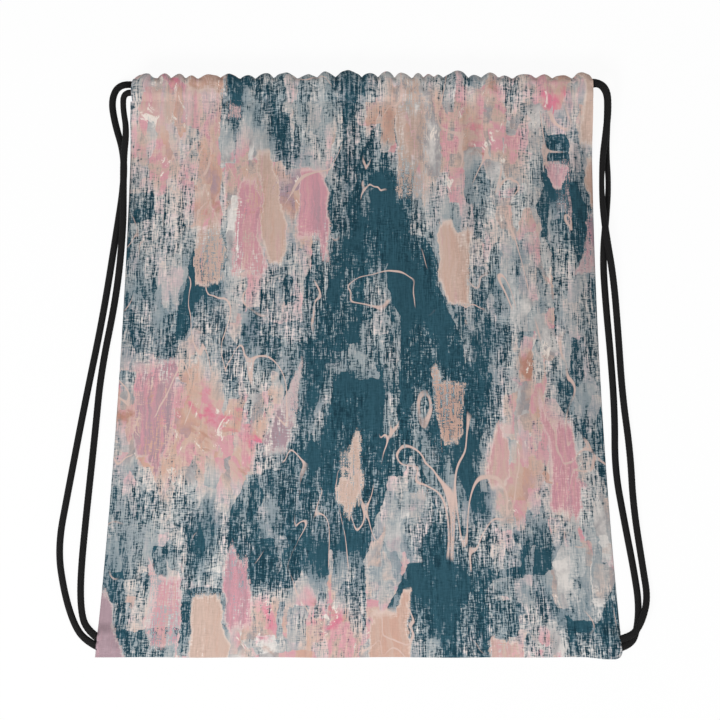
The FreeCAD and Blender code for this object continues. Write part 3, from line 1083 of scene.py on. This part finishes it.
def make_cord(name, front_route, back_route, material):
    """One whole cord from its corner through both casings and back, as three tubes: the
    front one, the loop and the back one."""
    sign = signs[name]
    front_y, back_y = front_route[0][1], back_route[0][1]
    turn = turn_back(-sign, front_y, back_y)
    near_x, far_x = front_route[0][0], turn[0][0]
    out = along_channel(near_x, far_x, front_y, front_casing_z)
    back = along_channel(near_x, far_x, back_y, back_casing_z)
    route = [*front_route[::-1], *out, *turn, *back[::-1], *back_route]
    whole = smooth_line(route)
    beyond = [i for i, at in enumerate(whole) if at.x * sign < 0]
    first, last = beyond[0], beyond[-1]
    parts = {
        f"{name}_front_cord": whole[: first + 1],
        f"{name}_cord_loop": whole[first : last + 1],
        f"{name}_back_cord": whole[last:],
    }
    joint = next(j for j in frame["joints"] if j["name"] == f"{name}_strap_swing")
    axis_at = Vector(joint["pos_m"])
    still = (Vector((sign * still_half, still_y, axis_at.z)) - axis_at).normalized()
    outward = Vector((sign, 0, 0))
    outward = (outward - still * outward.dot(still)).normalized()
    for piece_name, places in parts.items():
        line, length = evenly(places, cord_step)
        is_loop = piece_name.endswith("loop")
        exit_point = line[-1] if piece_name.endswith("back_cord") else line[0]
        section = cord_section(piece_name, line, None if is_loop else exit_point)
        piece = mesh_object(piece_name, tube(line, length, cord_sides, section), [material])
        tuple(exit_point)
        if is_loop:
            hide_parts(f"{name}_cord_in_casing")
            gathered(piece)
        else:
            strand = piece_name.replace("cord", "strand")
            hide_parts(strand, f"{name}_cord_ends", f"{name}_cord_in_casing")
            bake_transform(piece)


# ---- floor and light ----
def make_studio():
    """A white floor that keeps a little of the bag's shadow, and two soft lamps above."""
    floor_glow = 0.94  # how much of what the camera sees of the floor is plain white
    work = bmesh.new()
    bmesh.ops.create_grid(work, x_segments=1, y_segments=1, size=4.0)
    shader = Shader("studio_floor")
    material = shader.finish((0.9, 0.9, 0.9, 1), 0.9)
    seen = shader.node("LightPath").outputs
    glossy = shader.math("MAXIMUM", seen["Is Camera Ray"], seen["Is Glossy Ray"])
    shown = shader.times(shader.math("MAXIMUM", glossy, seen["Is Transmission Ray"]), floor_glow)
    bright = shader.node("Emission", {"Strength": 1.0}).outputs[0]
    mixed = shader.node("MixShader", {0: shown, 1: shader.surface.outputs[0], 2: bright})
    shader.feed(shader.tree.nodes["Material Output"].inputs["Surface"], mixed.outputs[0])
    floor = mesh_object("studio_floor", work, [material])
    floor.data.transform(Matrix.Translation((0, 0, -0.0002)))

    world = bpy.data.worlds.new("studio")
    world.use_nodes = True
    sky = world.node_tree.nodes["Background"]
    sky.inputs["Color"].default_value = (1, 1, 1, 1)
    sky.inputs["Strength"].default_value = 0.34
    bpy.context.scene.world = world
    for name, place, size, power in (
        ("key_lamp", (-0.7, -1.0, 1.6), 0.8, 29.0),
        ("fill_lamp", (0.9, 0.2, 1.8), 1.2, 6.5),
    ):
        data = bpy.data.lights.new(name, "AREA")
        data.size = size
        data.energy = power
        lamp = placed(name, data)
        lamp.location = place
        lamp.rotation_euler = (-Vector(place)).to_track_quat("-Z", "Y").to_euler()
    bpy.context.scene.view_settings.view_transform = "Standard"


def main():
    make_camera()
    black = cord_black()
    make_cord("left", left_front_route, left_back_route, black)
    make_cord("right", right_front_route, right_back_route, black)
    front_print = printed_cloth("front_print", 1)
    back_print = printed_cloth("back_print", -1)
    inside = plain_cloth("cloth_inside")
    thread = thread_material()
    for side in ("left", "right"):
        front = panel_half(f"front_panel_{side}", side, front_height, 1, front_print, inside)
        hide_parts("front_panel")
        back = panel_half(f"back_panel_{side}", side, back_height, -1, back_print, inside)
        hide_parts("back_panel")
        for end, centre_z, facing, finish in (
            ("front", front_casing_z, 1, front_print),
            ("back", back_casing_z, -1, back_print),
        ):
            sleeve = casing_half(f"{end}_casing_{side}", side, centre_z, facing, finish, inside)
            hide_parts(f"{end}_casing")
            stitch_row(f"{end}_stitches_{side}", side, centre_z, facing, thread)
        side_seam(side, inside, thread)
        bottom_seam(side, inside, thread)
        corner_tack(side, front_print, inside, thread)
    make_studio()


main()
